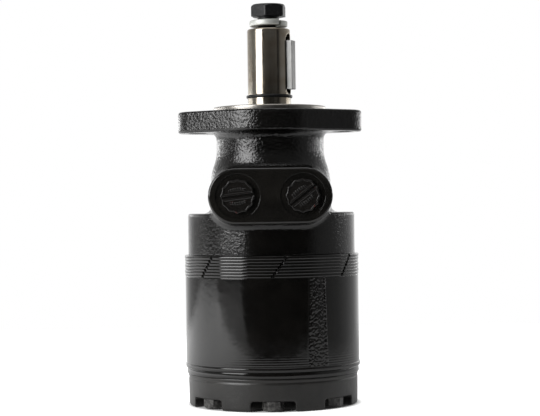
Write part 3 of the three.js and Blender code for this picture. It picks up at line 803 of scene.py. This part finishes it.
def hexagon(steps, across, turn):
    """Radii of a hexagon, across its flats, with its corners slightly blunted."""
    blunt = 1.135
    angle = np.arange(steps) * TAU / steps - turn
    off = (angle + TAU / 12) % (TAU / 6) - TAU / 12
    return np.minimum(across / 2 / np.cos(off), across / 2 * blunt)


def hex_rings(across, face, foot, turn, steps):
    """Rings of a hex head from its washer face (foot) to its chamfered end (face)."""
    flats = hexagon(steps, across, turn)
    sign = 1 if face > foot else -1
    washer = 0.4 * sign
    rings = [(foot, across * 0.475), (foot + washer, across * 0.475), (foot + washer, flats)]
    drop = across * 0.09
    for t in np.linspace(0, 1, 9):
        z = face - sign * drop * (1 - t)
        cone = across / 2 * (1.155 - 0.175 * t)
        rings.append((z, np.minimum(flats, cone)))
    rings.append((face, across * 0.42))
    rings.append((face - sign * 0.15, across * 0.4))
    return rings


def make_cover_bolts():
    """Seven long bolts, heads down in the cover's pockets, each stopped at its own angle."""
    steps = 144
    head_face = 1.0
    end = 128
    turns = (7, 19, 2, 26, 11, 33, 15)
    for i, (angle, x, y) in enumerate(bolt_places()):
        turn = angle + math.radians(turns[i])
        head = hex_rings(BOLT_HEX, head_face, POCKET_H, turn, steps)[::-1]
        shank = [(POCKET_H + 0.2, BOLT_R), (end - 1, BOLT_R), (end, 3.9)]
        bolt = lofted(f"long_cover_bolt_{i + 1}", head + shank, steps, (x, y))
        settle(bolt, BODY, "bolt_paint", BOLT, f"cover_bolt_{i + 1}")


def make_end_bolt():
    """The 5/8 inch bolt in the shaft's end. Its rings are shaped so that a thread winds up it."""
    steps = 120
    pitch = 2.309
    crest = 7.9
    thread_depth = 1.3
    thread_top = 282.2
    under_head = 284.25
    hex_size = 23.8
    hex_turn = math.radians(-8.7)
    angle = np.arange(steps) * TAU / steps
    rings = [(246, 6.5)]
    for z in np.arange(246.6, thread_top, pitch / 9):
        phase = ((z / pitch) - angle / TAU) % 1
        height = 1 - np.abs(phase - 0.5) * 2
        fade = min(1.0, (thread_top - z) / 2.5)
        rings.append((z, crest - thread_depth * fade * np.clip(1.25 - 1.5 * height, 0, 1)))
    rings.append((thread_top + 0.4, 8.0))
    rings.append((under_head - 0.15, 8.1))
    head_face = span("shaft_end_bolt")[1][2]
    head = hex_rings(hex_size, head_face, under_head, hex_turn, steps)
    bolt = lofted("shaft_end_hex_bolt", rings + head, steps)
    settle(bolt, "shaft", "black_oxide", OXIDE, "shaft_end_bolt")


# ---------------------------------------------------------------- shaft and what is on it

def shaft_field(x, y, z):
    """Drum, journal and shaft end, with ring groove, keyway, threaded hole and spline socket."""
    low, high = span("retaining_ring")
    r = np.sqrt(x * x + y * y)
    drum = rounded_slab(r - DRUM_R, z, DRUM_LOW, DRUM_TOP, 0.8)
    journal = rounded_slab(r - JOURNAL_R, z, 120, 200, 1.4)
    end = rounded_slab(r - SHAFT_R, z, 140, SHAFT_TOP, 1.4)
    body = smooth_min(smooth_min(drum, journal, 1.0), end, 1.0)
    groove = rounded_slab(np.abs(r - 20) - 5.1, z, low[2] - 0.25, high[2] + 0.25, 0.1)
    body = smooth_max(body, -groove, 0.3)
    out, side = key_axes(x, y)
    keyway = bar_distance(z - KEYWAY_MIDDLE, side, KEYWAY_HALF - KEYWAY_R, KEYWAY_R)
    body = smooth_max(body, -np.maximum(keyway, KEYWAY_FLOOR - out), 0.5)
    end_hole = np.maximum(r - 8.2, 243 - z)
    body = smooth_max(body, -end_hole, 0.8)
    teeth = np.clip(1.7 * np.cos(12 * np.arctan2(y, x)), -1, 1)
    socket = np.maximum((r - 17.35 - 1.25 * teeth) * 0.6, z - DRUM_TOP)
    return np.maximum(body, -socket)


def make_shaft():
    low = (-DRUM_R, -DRUM_R, DRUM_LOW)
    high = (DRUM_R, DRUM_R, SHAFT_TOP)
    shaft = field_piece("keyed_shaft", shaft_field, low, high, 0.45)
    settle(shaft, "shaft", "shaft_steel", SHAFT, "output_shaft")


def make_retaining_ring():
    """An open wire ring, with its gap at the back."""
    low, high = span("retaining_ring")[0][2] + 0.15, span("retaining_ring")[1][2] - 0.15
    start = math.radians(98)
    end = math.radians(442)
    ring = swept_ring("retaining_ring_wire", [
        (15.15, low, 0.1), (16.3, low, 0.25), (16.3, high, 0.25), (15.15, high, 0.1),
    ], start, end, 0)
    settle(ring, "shaft", "black_oxide", OXIDE, "retaining_ring")


def key_field(x, y, z):
    low, high = span("shaft_key")
    middle, half = (low[2] + high[2]) / 2, (high[2] - low[2]) / 2
    out, side = key_axes(x, y)
    plan = np.maximum(np.abs(z - middle) - half, np.abs(side) - KEY_HALF)
    return rounded_slab(plan, out, 11.5, 19.4, 0.35)


def make_key():
    key = field_piece("shaft_parallel_key", key_field, *span("shaft_key"), 0.25)
    settle(key, "shaft", "key_steel", KEY, "shaft_key")


def make_lock_washer():
    """A split washer whose one end stands above the other."""
    inner, outer = 8.5, 13.5
    low = span("lock_washer")[0][2]
    high = low + 3.2
    start = -48
    turn = 352
    climb = 0.9
    washer = swept_ring("split_lock_washer", [
        (inner, low, 0.3), (outer, low, 0.45), (outer, high, 0.45), (inner, high, 0.3),
    ], math.radians(start), math.radians(start + turn), climb)
    settle(washer, "shaft", "zinc_plate", ZINC, "lock_washer")


# ---------------------------------------------------------------- port plugs and dust seal

def plug_head(r, angle, out):
    """A plug's dished head, with twelve points on its rim. out is the height above its back."""
    scallop = 0.8 * np.abs(np.sin(6 * angle))
    head = rounded_slab((r - 12.15 + scallop) * 0.93, out, 0, 3.0, 0.5)
    dish = rounded_slab(r - 10.9 + scallop, out, 2.45, 6, 0.1)
    return smooth_max(head, -dish, 0.25)


def plug_pips(along, across, out):
    """Two bowed rows of plain raised pips, one on each side of the bar."""
    pitch = 1.7
    row_end = 5.9
    beat = (along + 20) % pitch - pitch / 2
    row = np.maximum(np.abs(np.abs(across) - 5.0 + 0.03 * along * along) - 0.45, 0)
    pips = np.sqrt(beat * beat + row * row + (out - 2.4) ** 2) - 0.62
    return np.maximum(pips, np.abs(along) - row_end)


def make_plug(side, x, slot_angle):
    """A plastic plug: pointed head, slotted bar across it, pips, and a stub in the port."""
    back = BOSS_FACE + SPOTFACE_DEPTH

    def field(px, py, pz):
        u, v = px - x, pz - PORT_Z
        r = np.sqrt(u * u + v * v)
        out = back - py
        along = u * math.cos(slot_angle) + v * math.sin(slot_angle)
        across = -u * math.sin(slot_angle) + v * math.cos(slot_angle)
        head = plug_head(r, np.arctan2(v, u), out)
        bar = np.maximum(np.abs(across) - 2.2, np.abs(along) - 9.9)
        head = smooth_min(head, rounded_slab(bar, out, 1, 2.75, 0.2), 0.4)
        slot = np.maximum(np.abs(across) - 0.9, 1.5 - out)
        head = smooth_max(head, -slot, 0.3)
        head = smooth_min(head, plug_pips(along, across, out), 0.1)
        stub = rounded_slab(r - 9.8, out, -13, 1, 0.6)
        return smooth_min(head, stub, 0.3)

    low, high = span(f"port_plug_{side}")
    plug = field_piece(f"scalloped_plug_{side}", field, low, high, 0.25)
    settle(plug, f"plug_{side}", "plug_plastic", PLUG, f"port_plug_{side}")


def make_dust_seal():
    """A rubber ring with a trough between its outer wall and its lip."""
    inner, outer = 16.2, 22.2
    low, high = 210, 216.4
    seal = turned("dust_seal_lip", [
        (inner, low, 0.2), (outer, low, 0.3), (outer, high, 0.3), (20.6, high, 0.3),
        (19.0, 214.6, 0.4), (17.6, 214.9, 0.4), (inner, 216.3, 0.15),
    ], 144)
    settle(seal, BODY, "seal_rubber", RUBBER, "dust_seal")


def give_rest_their_looks():
    """CAD nodes that stay, inside the motor, take the material of their slot."""
    slots = {s["node"]: s["material_slot"] for s in frame["record"]["subparts"]}
    for name, node in frame["nodes"].items():
        node.data.materials.clear()
        node.data.materials.append(SLOT_LOOKS[slots[name]])


# ---------------------------------------------------------------- studio

def soft_box(name, azimuth, elevation, distance, width, height, radiance, target=(0, 0, 0.14)):
    """An area light. Azimuth is from the camera's side, positive to its right."""
    a, e = math.radians(azimuth), math.radians(elevation)
    way = Vector((math.sin(a) * math.cos(e), -math.cos(a) * math.cos(e), math.sin(e)))
    data = bpy.data.lights.new(name, "AREA")
    data.shape = "RECTANGLE"
    data.size = width
    data.size_y = height
    data.energy = radiance * math.pi * width * height
    lamp = bpy.data.objects.new(name, data)
    lamp.location = Vector(target) + way * distance
    lamp.rotation_euler = way.to_track_quat("Z", "Y").to_euler()
    lamp.visible_camera = False
    COLLECTION.objects.link(lamp)


def make_world():
    """A room that brightens from its dark front to its white back, for the gloss to reflect.

    The camera sees plain white in its place.
    """
    world = bpy.data.worlds.new("studio")
    bpy.context.scene.world = world
    world.use_nodes = True
    tree = world.node_tree
    tree.nodes.clear()
    place = tree.nodes.new("ShaderNodeTexCoord")
    split = tree.nodes.new("ShaderNodeSeparateXYZ")
    tree.links.new(place.outputs["Generated"], split.inputs["Vector"])
    depth = tree.nodes.new("ShaderNodeMapRange")
    depth.inputs["From Min"].default_value = -1
    tree.links.new(split.outputs["Y"], depth.inputs["Value"])
    curve = tree.nodes.new("ShaderNodeValToRGB")
    stops = [(0.0, 0.0), (0.18, 0.01), (0.30, 0.20), (0.56, 0.28), (0.71, 0.40), (0.87, 0.6),
             (0.97, 1.0)]
    while len(curve.color_ramp.elements) < len(stops):
        curve.color_ramp.elements.new(0.5)
    for element, (where, value) in zip(curve.color_ramp.elements, stops):
        element.position = where
        element.color = (value, value, value, 1)
    tree.links.new(depth.outputs["Result"], curve.inputs["Fac"])
    room = tree.nodes.new("ShaderNodeBackground")
    tree.links.new(curve.outputs["Color"], room.inputs["Color"])
    plain = tree.nodes.new("ShaderNodeBackground")
    plain.inputs["Color"].default_value = (1, 1, 1, 1)
    path = tree.nodes.new("ShaderNodeLightPath")
    choice = tree.nodes.new("ShaderNodeMixShader")
    tree.links.new(path.outputs["Is Camera Ray"], choice.inputs["Fac"])
    tree.links.new(room.outputs["Background"], choice.inputs[1])
    tree.links.new(plain.outputs["Background"], choice.inputs[2])
    out = tree.nodes.new("ShaderNodeOutputWorld")
    tree.links.new(choice.outputs["Shader"], out.inputs["Surface"])


def make_floor():
    """White paper and a grey table that goes on past the paper's front edge.

    Only reflections tell them apart. For reflections both glow with painted light, brightest at
    the left and dimmer on the table. To the camera both are the same plain floor, glowing
    evenly all over except under the motor. The right and back ends fade out. Sizes are metres.
    """
    edge = -0.42
    blur = 0.02
    left, right, back = -2.2, 0.6, 0.85
    corner = -0.185
    paper, table = (0.9, 0.9, 0.9), (0.15, 0.15, 0.15)
    outline = [(right, edge), (right, back), (left, back), (left, edge + left - corner),
               (corner, edge)]
    floor = new_piece("studio_floor", [(x / MM, y / MM, 0) for x, y in outline],
                      [list(range(len(outline)))])
    look = Look("floor_paper_painted_light", paper, 0.9)
    split = look.node("ShaderNodeSeparateXYZ")
    look.link(look.place, split.inputs["Vector"])
    x, y = split.outputs["X"], split.outputs["Y"]
    look.colour(look.mix(look.ramp(y, edge - blur, edge, 0, 1), table, paper))
    fade = look.math("MULTIPLY", look.ramp(x, 0.35, 0.6, 1, 0), look.ramp(y, 0.5, 0.8, 1, 0))
    look.link(fade, look.shader.inputs["Alpha"])
    # painted light: for reflections the paper glows, brightest at the left, and the table glows at
    # a fifth of that
    painted_floor_light = look.math("MULTIPLY", look.ramp(x, -0.5, -0.05, 1.0, 0.1),
                    look.ramp(y, edge - blur, edge, 0.2, 1))
    far = look.node("ShaderNodeVectorMath", operation="LENGTH")
    look.link(look.place, far.inputs[0])
    plain = look.math("ADD", look.ramp(far.outputs["Value"], 0.06, 0.066, 0.0, 0.85),
                      look.ramp(y, edge - blur, edge, 0.15, 0))
    path = look.node("ShaderNodeLightPath")
    glow = look.node("ShaderNodeMix", data_type="FLOAT")
    look.link(path.outputs["Is Camera Ray"], glow.inputs["Factor"])
    look.link(painted_floor_light, glow.inputs["A"])
    look.link(plain, glow.inputs["B"])
    look.shader.inputs["Emission Color"].default_value = (1, 1, 1, 1)
    look.link(glow.outputs["Result"], look.shader.inputs["Emission Strength"])
    floor.data.materials.append(look.material)


def make_camera():
    distance = 1.24
    height = 0.1435
    aside = -0.00072
    turn = math.radians(0.33)
    tilt = math.radians(-0.8)
    data = bpy.data.cameras.new("photo_camera")
    data.sensor_width = 36
    data.lens = 112
    data.clip_start = 0.05
    data.clip_end = 20
    camera = bpy.data.objects.new("photo_camera", data)
    camera.location = (aside + distance * math.sin(turn), -distance * math.cos(turn), height)
    pan = Matrix.Rotation(turn, 4, "Z")
    level = Matrix.Rotation(math.radians(90), 4, "X")
    roll = Matrix.Rotation(tilt, 4, "Z")
    camera.rotation_euler = (pan @ level @ roll).to_euler()
    COLLECTION.objects.link(camera)
    bpy.context.scene.camera = camera
    bpy.context.scene.view_settings.view_transform = "Standard"


def make_studio():
    make_world()
    make_floor()
    soft_box("key_left", -54, 19.8, 1.6, 0.94, 1.05, 8)
    soft_box("fill_front", 10, 26, 2.2, 3.2, 1.5, 0.13)
    shaft_height = (0, 0, 0.27)
    soft_box("rim_left", -130, 0, 1.5, 1.6, 0.07, 5, shaft_height)
    soft_box("rim_right", 130, 0, 1.5, 1.6, 0.07, 4.5, shaft_height)
    soft_box("top", 0, 88, 1.4, 0.9, 0.9, 1.5)
    make_camera()


# ---------------------------------------------------------------- the motor

give_rest_their_looks()
make_housing()
make_end_cover()
make_thin_plates()
make_manifold()
make_stator()
make_cover_bolts()
make_end_bolt()
make_shaft()
make_retaining_ring()
make_key()
make_lock_washer()
make_plug("left", -PORT_X, math.radians(7))
make_plug("right", PORT_X, math.radians(38))
make_dust_seal()
make_studio()
